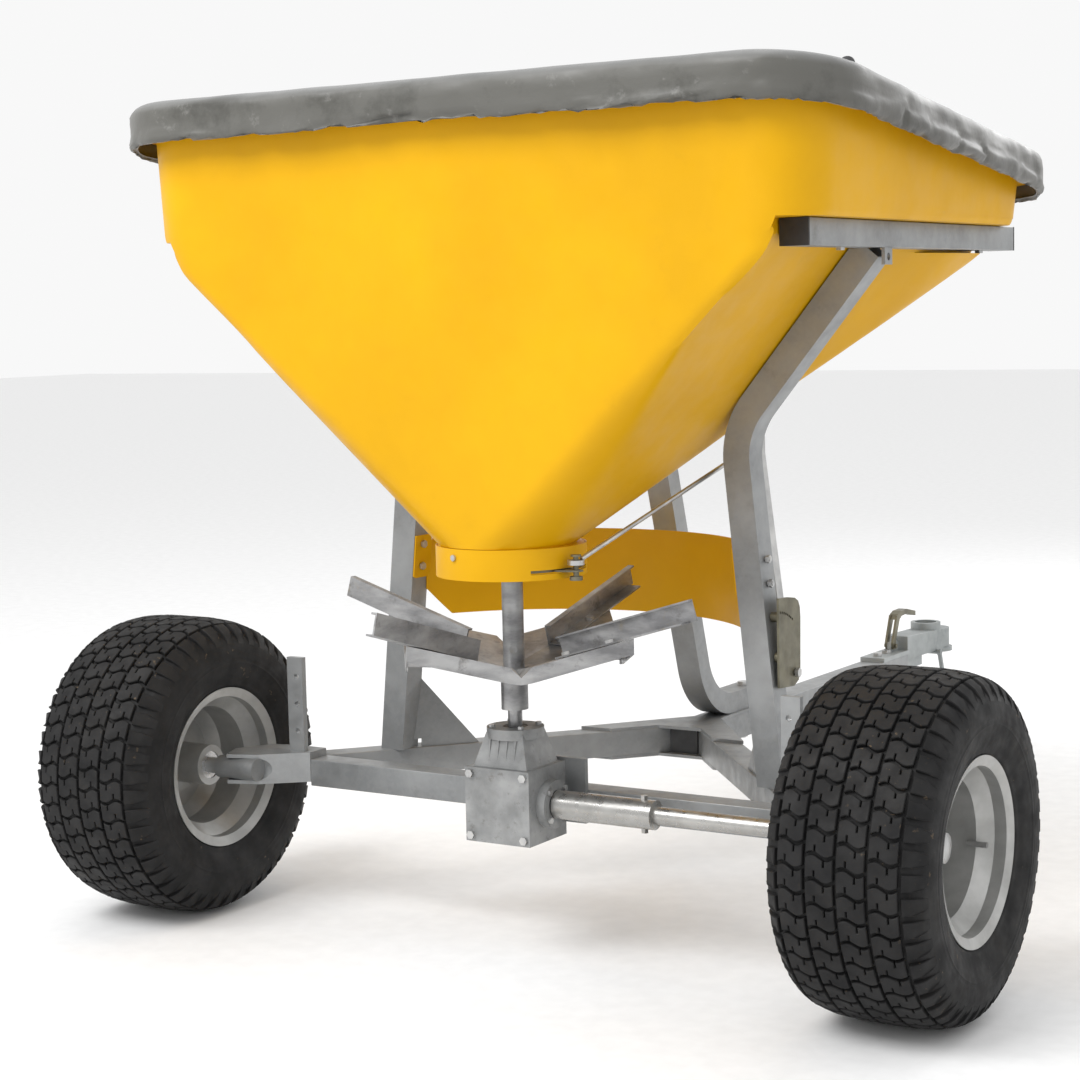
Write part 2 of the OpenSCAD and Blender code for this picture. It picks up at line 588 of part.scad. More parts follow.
// A straight tooth on the pitch line, from local z0 to z1; +z points away from the pinion
module gear_tooth(z0, z1) rotate([0, -90 - cone_a, 0])
    translate([cone_l - tooth_l, -tooth_w / 2, z0]) cube([tooth_l, tooth_w, z1 - z0]);
function on_cone(l, off) = [l * cos(cone_a) - off * sin(cone_a), -l * sin(cone_a) - off * cos(cone_a)];
module crown_gear() color("darkslategray") at_axle() translate([spin_x, 0, axle_z]) {
    inner = on_cone(cone_l - tooth_l - 1, root);
    outer = on_cone(cone_l, root);
    rotate([0, 90, 0]) rotate_extrude($fn = 72) polygon([
        [shaft_r, -34], [24, -34], [24, outer[1] - 7], [outer[0], outer[1] - 7], outer, inner,
        [24, inner[1]], [shaft_r, inner[1]]]);
    for (i = [0.5 : crown_teeth]) rotate([i * 360 / crown_teeth, 0, 0]) gear_tooth(-tip, root + 0.4);
}
module pinion_gear() color("darkslategray") at_axle() translate([spin_x, 0, axle_z]) {
    low = cone_l - tooth_l - 1;
    r0 = low * sin(cone_a) - root * cos(cone_a);
    r1 = cone_l * sin(cone_a) - root * cos(cone_a);
    z0 = low * cos(cone_a) + root * sin(cone_a);
    z1 = cone_l * cos(cone_a) + root * sin(cone_a);
    rotate_extrude($fn = 72) polygon([[0, z0], [r0, z0], [r1, z1], [r1, z1 + 4], [0, z1 + 4]]);
    for (i = [0 : pinion_teeth - 1]) rotate([0, 0, i * 360 / pinion_teeth]) gear_tooth(-root - 0.4, tip);
}
pinion_top = axle_z + cone_l * cos(cone_a) + root * sin(cone_a) + 4;

// ---------------------------------------------------------------- spinner
dish_z = 518;                                // underside of the dish is 6 below this at its middle
hub_low = 440;
module spinner_shaft() color("dimgray") at_axle() translate([spin_x, 0, 0]) {
    translate([0, 0, pinion_top]) cylinder(r = out_r, h = hub_low - pinion_top + 1);
    translate([0, 0, hub_low]) cylinder(r = 23.5, h = dish_z - 5 - hub_low);
    translate([0, 0, dish_z - 6]) cylinder(r = 18.5, h = 780 - dish_z + 6);
    translate([0, 0, 546]) rotate([0, 0, 32]) rotate([90, 0, 0]) cylinder(r = 7, h = 44, center = true);
    for (a = [0, 180]) rotate([0, 0, a]) translate([0, 0, 752]) rotate([0, 78, 0])
        cylinder(r = 6, h = 78);
}
// Pressed dish: four raised wings with a valley between each pair, and a flange turned down
dish_a = -8.5;                               // direction of the first corner of the dish
spoke_a = [0, 39.5, 45, 50.5];               // wing crest, shoulder, valley, shoulder
spoke_r = [265, 189, 186, 189];
spoke_rise = [71, 29, 11, 29];
skirt = [27, 27, 12, 27];                    // depth of the turned-down flange
function spoke(k, r, drop) = let (q = floor(k / 4), j = k - 4 * q, a = dish_a + 90 * q + spoke_a[j])
    r < 25 ? [24 * cos(a), 24 * sin(a), dish_z - 6 - drop]
    : [spoke_r[j] * cos(a), spoke_r[j] * sin(a), dish_z - 6 + spoke_rise[j] - drop];
function skirt_of(k) = skirt[k - 4 * floor(k / 4)];
module spinner_dish() color("slategray") at_axle() translate([spin_x, 0, 0]) difference() {
    t = 3;
    n = 16;
    rings = concat([for (k = [0 : n - 1]) spoke(k, 24, 0)],
        [for (k = [0 : n - 1]) spoke(k, 252, 0)], [for (k = [0 : n - 1]) spoke(k, 252, skirt_of(k))],
        [for (k = [0 : n - 1]) let (p = spoke(k, 252, skirt_of(k))) [p[0] * 0.985, p[1] * 0.985, p[2]]],
        [for (k = [0 : n - 1]) let (p = spoke(k, 252, t)) [p[0] * 0.985, p[1] * 0.985, p[2] - 1]],
        [for (k = [0 : n - 1]) spoke(k, 24, t)]);
    polyhedron(rings, [for (j = [0 : 5], k = [0 : n - 1], h = [0, 1]) let (m = (k + 1) % n,
        a = j * n, b = ((j + 1) % 6) * n)
        h == 0 ? [a + k, a + m, b + k] : [a + m, b + m, b + k]]);
    vane_bolt_places() drill(bolt_d, 40);
    translate([0, 0, dish_z - 40]) cylinder(r = 25, h = 60);
}
vane_root_r = 110;
vane_h = 37;
module at_vanes() for (q = [0 : 3]) rotate([0, 0, vane_a + 90 * q]) children();
module vane_frame() translate([24, 0, dish_z - 6]) rotate([0, -vane_rise, 0]) children();
module vane_bolt_places() at_vanes() vane_frame() for (r = [102, 196]) translate([r, -14, 3.6])
    children();
module spinner_vanes() color("gray") at_axle() translate([spin_x, 0, 0]) difference() {
    at_vanes() vane_frame() {
        run = (vane_tip_r - 24) / cos(vane_rise);
        translate([vane_root_r - 24, 0, 0.6]) cube([run - vane_root_r + 24, 3, vane_h]);
        translate([vane_root_r - 24, -25, 0.6]) cube([run - vane_root_r + 10, 26, 3]);
        translate([vane_root_r - 24, -9, vane_h - 2.4]) cube([run - vane_root_r + 24, 10, 3]);
    }
    vane_bolt_places() drill(bolt_d, 20);
}
module vane_bolts() color("lightgray") at_axle() translate([spin_x, 0, 0])
    vane_bolt_places() bolt(bolt_d, 16);
// ---------------------------------------------------------------- rate control
arm_a = -12;
arm_r = 152;
module shutter() color("goldenrod") at_axle() translate([spin_x, 0, shutter_z]) {
    difference() {
        union() {
            cylinder(r = outlet_r - ring_t - 4, h = plate_t);
            rotate([0, 0, arm_a]) translate([0, 0, 0.5]) linear_extrude(plate_t - 1)
                polygon([[90, -26], [outlet_r - 4, -24], [arm_r + 10, -7], [arm_r + 10, 7], [90, 22]]);
            rotate([0, 0, arm_a]) translate([arm_r, 0, -8]) cylinder(r = 5, h = 9);
            rotate([0, 0, arm_a]) translate([arm_r, 0, -14]) cylinder(r = 11, h = 6.5);
            rotate([0, 0, arm_a]) translate([arm_r, 0, plate_t - 1]) cylinder(r = 4.5, h = 24);
            rotate([0, 0, arm_a]) translate([arm_r, 0, plate_t + 22]) cylinder(r = 9, h = 3);
        }
        translate([0, 0, -1]) cylinder(r = 24, h = plate_t + 2);
        for (a = apertures) rotate([0, 0, a + 18]) translate([82, 0, -1]) cylinder(d = 50, h = 8);
    }
}
quadrant_z = 487;
quadrant_x = 413;
pivot_y = 290;
module rate_quadrant() color("darkkhaki") at_axle() difference() {
    union() {
        translate([quadrant_x, 0, 0]) rotate([90, 0, 90]) linear_extrude(4)
            polygon([[226, 468], [284, 464], [302, 472], [309, 492], [311, 581], [309, 600], [303, 611],
                [290, 618], [263, 622], [226, 624]]);
        for (z = [520, 590]) translate([upright_outer(z) + 1, foot_y - 2, z]) along_x(0)
            cylinder(r = 9, h = quadrant_x - upright_outer(z));
    }
    for (i = [0 : 7]) translate([quadrant_x - 2, pivot_y, quadrant_z]) rotate([27.4 - i * 2.9, 0, 0])
        translate([0, 0, 126 - i * 4.3]) along_x(0) cylinder(d = 5, h = 12);
    translate([quadrant_x - 20, pivot_y, quadrant_z]) along_x(0) cylinder(d = 10.1, h = 60);
}
function upright_outer(z) = foot_x + tube_s / 2 / cos(lean) - (z - deck_z) * tan(lean) + 0.2;
lever_top = [316.8, 342.4, 880];
module rate_lever() color("silver") at_axle() {
    union() {
        translate([quadrant_x - 14, pivot_y, quadrant_z]) along_x(0) cylinder(r = 16, h = 6);
        hull() {
            translate([quadrant_x - 14, pivot_y - 12, quadrant_z]) cube([6, 24, 6]);
            translate([lever_top[0] + 8, lever_top[1] - 12, lever_top[2] - 20]) cube([6, 24, 6]);
        }
        translate([lever_top[0] + 8, lever_top[1] - 12, lever_top[2] - 20]) cube([6, 24, 34]);
    }
    translate(lever_top) along_x(0) cylinder(r = 4, h = 9);
    translate(lever_top) sphere(r = 8);
    translate([quadrant_x - 14, pivot_y, quadrant_z]) along_x(0) cylinder(d = 10, h = 26);
    translate([quadrant_x + 6, pivot_y, quadrant_z]) along_x(0) cylinder(d = 17, h = 6, $fn = 6);
}
tip_p = [spin_x + arm_r * cos(arm_a), arm_r * sin(arm_a), shutter_z + plate_t + 12];
eye_r = 9.5;                                 // the eye has play around the shutter's pin
module control_rod() color("silver") at_axle() {
    d = lever_top - tip_p;
    len = norm(d);
    translate(tip_p) rotate([0, acos(d[2] / len), atan2(d[1], d[0])]) {
        translate([0, 0, eye_r + 3]) cylinder(d = 8, h = len - eye_r - 13);
        translate([0, 0, len - 36]) cylinder(d = 14, h = 26);
    }
    translate(tip_p) translate([0, 0, -4]) ring(eye_r + 5, eye_r, 8);
    translate(lever_top) difference() {
        sphere(r = 12);
        sphere(r = 8.05);
        block([3, -20, -20], [20, 20, 20]);
    }
}

// ---------------------------------------------------------------- hitch and parking leg
ball_r = 25;
socket_gap = 0.4;
ball_y = nose_y - 44;
latch_y = 1668;                              // hinge of the latch handle
latch_z = deck_z + 24;
loop_y = 1866;                               // pin of the safety loop
loop_z = deck_z - 17;
module hitch_coupler() color("silver") at_axle() difference() {
    union() {
        block([-half_bar, 1560, deck_z], [half_bar, 1712, deck_z + 10]);
        block([-27, drawbar_end + 1, deck_z - 36], [27, 1790, deck_z + 12]);
        hull() {
            block([-28, 1702, deck_z - 12], [28, 1712, deck_z + 42]);
            translate([0, ball_y, deck_z - 14]) cylinder(r = 37, h = 48);
        }
        translate([0, ball_y, deck_z - 22]) cylinder(r = 44, h = 10);
        translate([0, ball_y - 52, deck_z + 30]) cylinder(r = 36, h = 24);
        block([-5, latch_y - 10, deck_z + 9], [5, 1705, latch_z + 9]);
    }
    translate([0, ball_y, deck_z - 30]) cylinder(r = ball_r + socket_gap, h = 40);
    translate([0, ball_y, deck_z + 6]) sphere(r = ball_r + socket_gap);
    translate([0, ball_y - 52, deck_z + 38]) cylinder(r = 26, h = 20);
    block([-24, 1796, deck_z - 40], [24, ball_y - 36, deck_z + 26]);
    for (y = hitch_bolt_y) translate([0, y, deck_z]) drill(12, 60);
    translate([0, latch_y, latch_z]) rotate([0, 90, 0]) cylinder(d = 10.1, h = 90, center = true);
    translate([0, loop_y, loop_z]) rotate([0, 90, 0]) cylinder(d = 10, h = 90, center = true);
}
hitch_bolt_y = [1590, 1640];
module hitch_bolts() for (y = hitch_bolt_y)
    translate([0, y, deck_z + 10]) bolt(12, tube_s + 10);
module frame_bolts() color("lightgray") at_axle() {
    beam_bolts();
    front_post_bolts();
    hitch_bolts();
}
module hitch_latch() color("darkkhaki") at_axle() {
    translate([0, latch_y, latch_z]) rotate([0, 90, 0]) cylinder(d = 10, h = 30, center = true);
    both_sides() translate([5.5, 0, 0]) rotate([90, 0, 90]) linear_extrude(5)
        polygon([[1676, 310], [1660, 310], [1656, 326], [1682, 388], [1702, 388], [1674, 330]]);
    rotate([90, 0, 90]) linear_extrude(21, center = true)
        polygon([[1679, 378], [1688, 390], [1704, 396], [1740, 397], [1792, 386], [1792, 375],
            [1740, 386], [1708, 384], [1698, 378]]);
}
module safety_loop() color("gray") at_axle() translate([0, loop_y, loop_z]) {
    rotate([0, 90, 0]) cylinder(d = 9.8, h = 76, center = true);
    both_sides() along_x(36.5) cylinder(r = 7, h = 9);
    rotate([20, 0, 0]) {
        both_sides() translate([37, -4, -76]) cube([8, 8, 76]);
        block([-45, -4, -84], [45, 4, -76]);
    }
}
leg_x = -(half_bar + 1 + leg_s / 2);
leg_z = deck_z - 32;                         // hinge of the parking leg
leg_y = 1450;
module parking_leg() color("silver") at_axle() {
    difference() {
        block([leg_x - leg_s / 2, leg_y - leg_s / 2, 6], [leg_x + leg_s / 2, leg_y + leg_s / 2, leg_z + 14]);
        block([leg_x - leg_s / 2 + 3, leg_y + 3 - leg_s / 2, 0],
            [leg_x + leg_s / 2 - 3, leg_y - 3 + leg_s / 2, 300]);
    }
    block([leg_x - 36, leg_y - 50, 0], [leg_x + leg_s / 2, leg_y + 50, 6]);
    translate([leg_x - leg_s / 2 - 2, leg_y, leg_z]) along_x(0) cylinder(d = 12, h = leg_s + 12);
    translate([leg_x - leg_s / 2 - 10, leg_y, leg_z]) along_x(0) cylinder(d = 20, h = 10, $fn = 6);
}

// ---------------------------------------------------------------- cover
cover_gap = 2;
module cover() color("dimgray") at_axle() difference() {
    hull() {
        intersection() {
            hopper_column(46, rim_z - 250, rim_z + 200);
            above_rim(-36);
            below_rim(34);
        }
        intersection() {
            hopper_column(-120, rim_z - 250, rim_z + 200);
            above_rim(56);
            below_rim(68);
        }
    }
    intersection() {
        hopper_column(40 + cover_gap, rim_z - 300, rim_z + 200);
        below_rim(22);
    }
}

// Rubber peg on top of the cover, beside its right edge
module cover_toggle() color("darkslategray") at_axle() translate([565, 200, 1487.9]) {
    cylinder(r = 13, h = 26);
    translate([0, 0, 26]) rotate_extrude() intersection() {
        translate([1, 0]) circle(r = 12);
        square(20);
    }
}

crossmember();
left_rail();
right_rail();
junction_plates();
drawbar();
plastic_end_caps();
left_axle_bracket();
right_axle_bracket();
scraper_bars();
left_upright();
right_upright();
upright_gussets();
left_side_beam();
right_side_beam();
tie_down_lugs();
frame_bolts();
front_post();
hopper();
outlet_ring();
floor_plate();
plastics_bolts();
deflector();
gearbox_housing();
gearbox_rear_cover();
gearbox_bolts();
gearbox_mount_plate();
input_bearings();
output_bearings();
shaft_seals();
right_axle_bearings();
left_stub_axle();
rate_quadrant();
hitch_coupler();
left_tyre();
left_rim();
left_wheel_disc();
left_hub();
left_wheel_bearings();
left_wheel_trim();
right_tyre();
right_rim();
right_wheel_disc();
right_hub();
right_wheel_trim();
drive_shaft();
drive_sleeve();
crown_gear();
spinner_shaft();
pinion_gear();
spinner_dish();
spinner_vanes();
vane_bolts();
shutter();
rate_lever();
control_rod();
hitch_latch();
safety_loop();
parking_leg();
cover();
cover_toggle();
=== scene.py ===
"""Looks of the garden spreader: moulded hopper, fabric cover, turf tyres and a finish for every part."""
import json
import math

import bmesh
import bpy
import numpy as np
from mathutils import Matrix, Vector, noise


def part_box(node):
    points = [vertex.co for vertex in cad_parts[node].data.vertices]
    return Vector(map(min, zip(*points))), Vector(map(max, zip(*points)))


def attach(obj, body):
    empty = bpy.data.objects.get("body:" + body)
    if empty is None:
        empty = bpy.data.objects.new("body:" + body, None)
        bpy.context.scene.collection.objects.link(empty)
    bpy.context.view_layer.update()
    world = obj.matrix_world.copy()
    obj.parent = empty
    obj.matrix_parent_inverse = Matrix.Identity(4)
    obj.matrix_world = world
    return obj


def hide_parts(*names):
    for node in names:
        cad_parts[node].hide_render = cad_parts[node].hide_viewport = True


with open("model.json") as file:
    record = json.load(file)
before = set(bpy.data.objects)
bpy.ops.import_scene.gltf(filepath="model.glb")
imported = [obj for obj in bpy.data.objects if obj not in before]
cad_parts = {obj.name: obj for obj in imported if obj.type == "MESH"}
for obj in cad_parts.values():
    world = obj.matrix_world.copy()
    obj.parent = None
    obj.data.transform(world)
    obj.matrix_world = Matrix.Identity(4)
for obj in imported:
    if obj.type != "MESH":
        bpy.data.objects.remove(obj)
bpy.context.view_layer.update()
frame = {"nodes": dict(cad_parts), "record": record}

MM = 0.001

tyre_low, tyre_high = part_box("right_tyre")
WHEEL = (tyre_low + tyre_high) / 2
TYRE_R = (tyre_high.z - tyre_low.z) / 2
TYRE_HALF = (tyre_high.x - tyre_low.x) / 2
AXLE_Y = WHEEL.y


# ---------------------------------------------------------------- materials
class Finish:
    """A principled material whose colour, roughness and bump come from noise in the part's own space."""

    def __init__(self, name, metallic=0.0, roughness=0.5, specular=0.5):
        self.material = bpy.data.materials.new(name)
        self.material.use_nodes = True
        self.tree = self.material.node_tree
        self.shader = self.tree.nodes["Principled BSDF"]
        self.shader.inputs["Metallic"].default_value = metallic
        self.shader.inputs["Roughness"].default_value = roughness
        self.shader.inputs["Specular IOR Level"].default_value = specular
        self.place = self.node("ShaderNodeTexCoord").outputs["Object"]
        self.height = None

    def node(self, kind, **values):
        made = self.tree.nodes.new(kind)
        for key, value in values.items():
            setattr(made, key, value)
        return made

    def link(self, source, target):
        self.tree.links.new(source, target)

    def noise(self, scale, detail=4.0, roughness=0.55, stretch=None):
        made = self.node("ShaderNodeTexNoise")
        made.inputs["Scale"].default_value = scale
        made.inputs["Detail"].default_value = detail
        made.inputs["Roughness"].default_value = roughness
        self.link(self.stretched(stretch), made.inputs["Vector"])
        return made.outputs["Fac"]

    def stretched(self, stretch):
        if stretch is None:
            return self.place
        mapping = self.node("ShaderNodeMapping")
        mapping.inputs["Scale"].default_value = stretch
        self.link(self.place, mapping.inputs["Vector"])
        return mapping.outputs["Vector"]

    def cells(self, scale):
        made = self.node("ShaderNodeTexVoronoi")
        made.inputs["Scale"].default_value = scale
        self.link(self.place, made.inputs["Vector"])
        return made.outputs["Color"]

    def ramp(self, source, low, high, start=0.35, end=0.65):
        """A colour or grey that goes from low to high as source goes from start to end."""
        made = self.node("ShaderNodeMapRange")
        made.inputs["From Min"].default_value = start
        made.inputs["From Max"].default_value = end
        self.link(source, made.inputs["Value"])
        if not hasattr(low, "__len__"):
            made.inputs["To Min"].default_value = low
            made.inputs["To Max"].default_value = high
            return made.outputs["Result"]
        return self.mix(made.outputs["Result"], (*low, 1), (*high, 1))

    def mix(self, factor, a, b):
        made = self.node("ShaderNodeMix", data_type="RGBA")
        self.link(factor, made.inputs["Factor"])
        for socket, value in ((made.inputs[6], a), (made.inputs[7], b)):
            if hasattr(value, "links"):
                self.link(value, socket)
            else:
                socket.default_value = value
        return made.outputs[2]

    def multiply(self, a, b):
        made = self.node("ShaderNodeMath", operation="MULTIPLY")
        self.link(a, made.inputs[0])
        self.link(b, made.inputs[1])
        return made.outputs[0]

    def colour(self, source):
        self.link(source, self.shader.inputs["Base Color"])

    def rough(self, source):
        self.link(source, self.shader.inputs["Roughness"])

    def bump(self, source, strength, distance):
        made = self.node("ShaderNodeBump")
        made.inputs["Strength"].default_value = strength
        made.inputs["Distance"].default_value = distance
        self.link(source, made.inputs["Height"])
        if self.height:
            self.link(self.height, made.inputs["Normal"])
        self.height = made.outputs["Normal"]
        self.link(self.height, self.shader.inputs["Normal"])


def galvanised(name, low, high, metallic=0.72, roughness=(0.42, 0.6)):
    """Zinc coat: soft blotches, faint spangle and a few dull stains."""
    f = Finish(name, metallic)
    blotch = f.ramp(f.noise(5, 6), low, high, 0.36, 0.64)
    spangle = f.mix(f.ramp(f.cells(140), 0.0, 0.22, 0.2, 0.9), blotch, (*high, 1))
    stain = f.ramp(f.noise(11, 8, 0.7), 0.0, 0.5, 0.6, 0.74)
    f.colour(f.mix(stain, spangle, (low[0] * 0.62, low[1] * 0.6, low[2] * 0.56, 1)))
    f.rough(f.ramp(f.noise(38, 6), roughness[0], roughness[1]))
    f.bump(f.noise(90, 5), 0.18, 0.0012)
    f.bump(f.noise(900, 3), 0.12, 0.0003)
    return f.material


def moulded_yellow():
    """Rotation-moulded polyethylene: even colour, satin, a little mottle and dust."""
    f = Finish("moulded_yellow", roughness=0.46, specular=0.2)
    f.shader.inputs["Subsurface Weight"].default_value = 0.03
    f.shader.inputs["Subsurface Radius"].default_value = (0.02, 0.012, 0.002)
    body = f.ramp(f.noise(3.2, 5), (0.64, 0.335, 0.0004), (0.72, 0.385, 0.0006))
    scuff = f.ramp(f.noise(14, 8, 0.72), 0.0, 0.14, 0.62, 0.76)
    f.colour(f.mix(scuff, body, (0.46, 0.25, 0.012, 1)))
    f.rough(f.ramp(f.noise(22, 5), 0.36, 0.5))
    f.bump(f.noise(420, 3), 0.1, 0.0004)
    f.bump(f.noise(9, 3), 0.12, 0.004)
    return f.material


def tyre_rubber():
    """Dark rubber with dust in the hollows and specks of dried soil."""
    f = Finish("tyre_rubber", roughness=0.72, specular=0.35)
    base = f.ramp(f.noise(18, 6), (0.006, 0.006, 0.0065), (0.013, 0.0125, 0.0125))
    dust = f.ramp(f.noise(7, 7, 0.7), 0.0, 0.35, 0.54, 0.76)
    dusty = f.mix(dust, base, (0.04, 0.036, 0.03, 1))
    soil = f.ramp(f.noise(75, 5, 0.6), 0.0, 0.8, 0.66, 0.72)
    f.colour(f.mix(f.multiply(soil, f.ramp(f.noise(5, 3), 0.0, 1.0, 0.45, 0.62)), dusty,
                   (0.17, 0.12, 0.07, 1)))
    f.rough(f.ramp(f.noise(30, 5), 0.62, 0.85))
    f.bump(f.noise(700, 4), 0.25, 0.0005)
    return f.material


def rim_paint():
    """Silver wheel paint with water marks and a little brake-brown dust."""
    f = Finish("rim_paint", metallic=0.55, roughness=0.38)
    body = f.ramp(f.noise(16, 6), (0.34, 0.34, 0.33), (0.45, 0.45, 0.44))
    marks = f.ramp(f.noise(60, 7, 0.7), 0.0, 0.5, 0.6, 0.72)
    f.colour(f.mix(marks, body, (0.36, 0.34, 0.3, 1)))
    f.rough(f.ramp(f.noise(45, 5), 0.3, 0.48))
    f.bump(f.noise(260, 4), 0.1, 0.0004)
    return f.material


def casting():
    """Cast iron under grey paint: a sandy skin and rubbed high spots."""
    f = Finish("casting", metallic=0.35, roughness=0.5)
    body = f.ramp(f.noise(20, 7), (0.23, 0.235, 0.235), (0.36, 0.365, 0.365))
    f.colour(f.mix(f.ramp(f.noise(70, 6, 0.7), 0.0, 0.6, 0.58, 0.7), body, (0.14, 0.13, 0.12, 1)))
    f.rough(f.ramp(f.noise(50, 5), 0.4, 0.62))
    f.bump(f.noise(330, 5), 0.45, 0.0009)
    return f.material


def turned_steel():
    """Turned shaft: a near-even grey, faint grain and light rust haze."""
    f = Finish("turned_steel", metallic=0.9, roughness=0.28)
    body = f.ramp(f.noise(16, 5), (0.36, 0.355, 0.34), (0.48, 0.475, 0.46))
    f.colour(f.mix(f.ramp(f.noise(26, 7, 0.7), 0.0, 0.5, 0.6, 0.75), body, (0.3, 0.25, 0.2, 1)))
    f.rough(f.ramp(f.noise(60, 4), 0.22, 0.42))
    f.bump(f.noise(160, 2, stretch=(4, 0.3, 0.3)), 0.03, 0.0001)
    return f.material


def worn_spinner():
    """Pressed sheet scoured by what it throws, with yellowish dust left in places."""
    f = Finish("worn_spinner", metallic=0.7, roughness=0.42)
    body = f.ramp(f.noise(9, 7, 0.62, (1, 1, 3)), (0.2, 0.2, 0.205), (0.42, 0.42, 0.42))
    dark = f.mix(f.ramp(f.noise(28, 7, 0.7), 0.0, 0.7, 0.56, 0.72), body, (0.1, 0.095, 0.09, 1))
    f.colour(f.mix(f.ramp(f.noise(15, 6, 0.7), 0.0, 0.35, 0.62, 0.76), dark, (0.36, 0.27, 0.1, 1)))
    f.rough(f.ramp(f.noise(34, 5), 0.3, 0.56))
    f.bump(f.noise(150, 5), 0.25, 0.0008)
    return f.material


def plain(name, low, high, metallic=0.0, roughness=(0.4, 0.6), grain=300):
    """A quiet finish: two close shades, uneven gloss and a fine grain."""
    f = Finish(name, metallic)
    f.colour(f.ramp(f.noise(24, 6), low, high))
    f.rough(f.ramp(f.noise(50, 5), roughness[0], roughness[1]))
    f.bump(f.noise(grain, 4), 0.15, 0.0004)
    return f.material


def cover_cloth():
    """Coated grey tarpaulin with a woven grain; painted shade makes it paler where it faces up and darker down
    the side, and damp stains lie on the side faces.
    """
    f = Finish("cover_cloth", roughness=0.5, specular=0.45)
    f.shader.inputs["Sheen Weight"].default_value = 0.25
    f.shader.inputs["Sheen Roughness"].default_value = 0.4
    body = f.ramp(f.noise(4, 6), (0.15, 0.152, 0.15), (0.235, 0.235, 0.23))
    damp = f.ramp(f.noise(6.5, 8, 0.68), 0.0, 0.75, 0.5, 0.66)
    # painted shade: the colour darkens where the cloth faces sideways and stays paler where it faces up
    facing = f.node("ShaderNodeSeparateXYZ")
    f.link(f.node("ShaderNodeTexCoord").outputs["Normal"], facing.inputs[0])
    side = f.ramp(facing.outputs[2], 1.0, 0.0, 0.25, 0.85)
    body = f.mix(side, body, (0.1, 0.098, 0.088, 1))
    # damp stains, laid only on the side faces through the painted-shade mask
    damp_and_side_shade = f.mix(f.multiply(damp, side), body, (0.035, 0.034, 0.028, 1))
    f.colour(f.mix(f.ramp(f.noise(30, 6, 0.7), 0.0, 0.4, 0.6, 0.75), damp_and_side_shade, (0.3, 0.295, 0.28, 1)))
    f.rough(f.ramp(f.noise(9, 6), 0.36, 0.62))
    for stretch in ((1, 0.02, 1), (0.02, 1, 1)):
        f.bump(f.noise(900, 2, 0.4, stretch), 0.12, 0.0003)
    f.bump(f.noise(26, 6, 0.6), 0.35, 0.003)
    return f.material


def chromate():
    return plain("chromate", (0.13, 0.12, 0.085), (0.21, 0.195, 0.14), 0.7, (0.35, 0.5))


FINISHES = {
    "galvanised_steel": galvanised("galvanised", (0.25, 0.258, 0.262), (0.36, 0.368, 0.372)),
    "zinc_fasteners": plain("zinc", (0.42, 0.42, 0.42), (0.6, 0.6, 0.59), 0.85, (0.28, 0.45)),
    "yellow_plastic": moulded_yellow(),
    "black_plastic": plain("black_plastic", (0.012, 0.012, 0.013), (0.028, 0.028, 0.028)),
    "gearbox_casting": casting(),
    "bearing_steel": plain("bearing_steel", (0.5, 0.5, 0.5), (0.66, 0.66, 0.66), 0.95, (0.2, 0.34)),
    "seal_rubber": plain("seal_rubber", (0.01, 0.01, 0.01), (0.03, 0.03, 0.03)),
    "peg_rubber": plain("peg_rubber", (0.03, 0.03, 0.032), (0.06, 0.06, 0.062), 0.0, (0.5, 0.7)),
    "bright_steel": turned_steel(),
    "gear_steel": plain("gear_steel", (0.13, 0.13, 0.135), (0.24, 0.24, 0.25), 0.9, (0.25, 0.4)),
    "spinner_steel": worn_spinner(),
    "tyre_rubber": tyre_rubber(),
    "rim_paint": rim_paint(),
    "yellow_chromate": chromate(),
    "hitch_steel": galvanised("hitch_steel", (0.26, 0.28, 0.28), (0.42, 0.44, 0.44), 0.6),
    "cover_fabric": cover_cloth(),
}
slot_of = {part["node"]: part["material_slot"] for part in frame["record"]["subparts"]}


def dress_frame():
    """Gives every CAD node the finish of its material slot."""
    for name, node in frame["nodes"].items():
        node.data.materials.clear()
        node.data.materials.append(FINISHES[slot_of[name]])


# ---------------------------------------------------------------- mesh helpers
def piece(name, verts, faces, slot, body, replaced=(), sharp=40):
    """A mesh piece in metres that rides on a body and takes the finish of a slot; sharp is in degrees."""
    mesh = bpy.data.meshes.new(name)
    mesh.from_pydata([tuple(v) for v in verts], [], faces)
    tidy = bmesh.new()
    tidy.from_mesh(mesh)
    bmesh.ops.recalc_face_normals(tidy, faces=tidy.faces)
    tidy.to_mesh(mesh)
    tidy.free()
    mesh.materials.append(FINISHES[slot])
    mesh.polygons.foreach_set("use_smooth", [True] * len(mesh.polygons))
    mesh.set_sharp_from_angle(angle=math.radians(sharp))
    obj = bpy.data.objects.new(name, mesh)
    bpy.context.scene.collection.objects.link(obj)
    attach(obj, body)
    if replaced:
        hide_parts(*replaced)
    return obj


def ring_faces(rings, count, closed):
    """Quads between rings of count points each; closed joins the last ring to the first."""
    pairs = range(rings if closed else rings - 1)
    return [(k * count + i, k * count + (i + 1) % count, (k + 1) % rings * count + (i + 1) % count,
             (k + 1) % rings * count + i) for k in pairs for i in range(count)]


def smoothstep(x):
    x = min(max(x, 0.0), 1.0)
    return x * x * (3 - 2 * x)


# ---------------------------------------------------------------- tyres
TREAD_ROWS = 46
COLUMNS = 4
COLUMN_PITCH = 50 * MM
GROOVE = 8 * MM
LUG_END = 152 * MM
# Half profile of the tyre at the tops of its blocks: (share of half width, drop below the tread radius in mm)
CROWN = [(0, 0), (0.32, 0), (0.58, 3), (0.79, 10), (0.9, 20), (0.97, 36), (1.0, 62), (0.99, 88),
         (0.95, 108), (0.87, 128), (0.84, 140)]


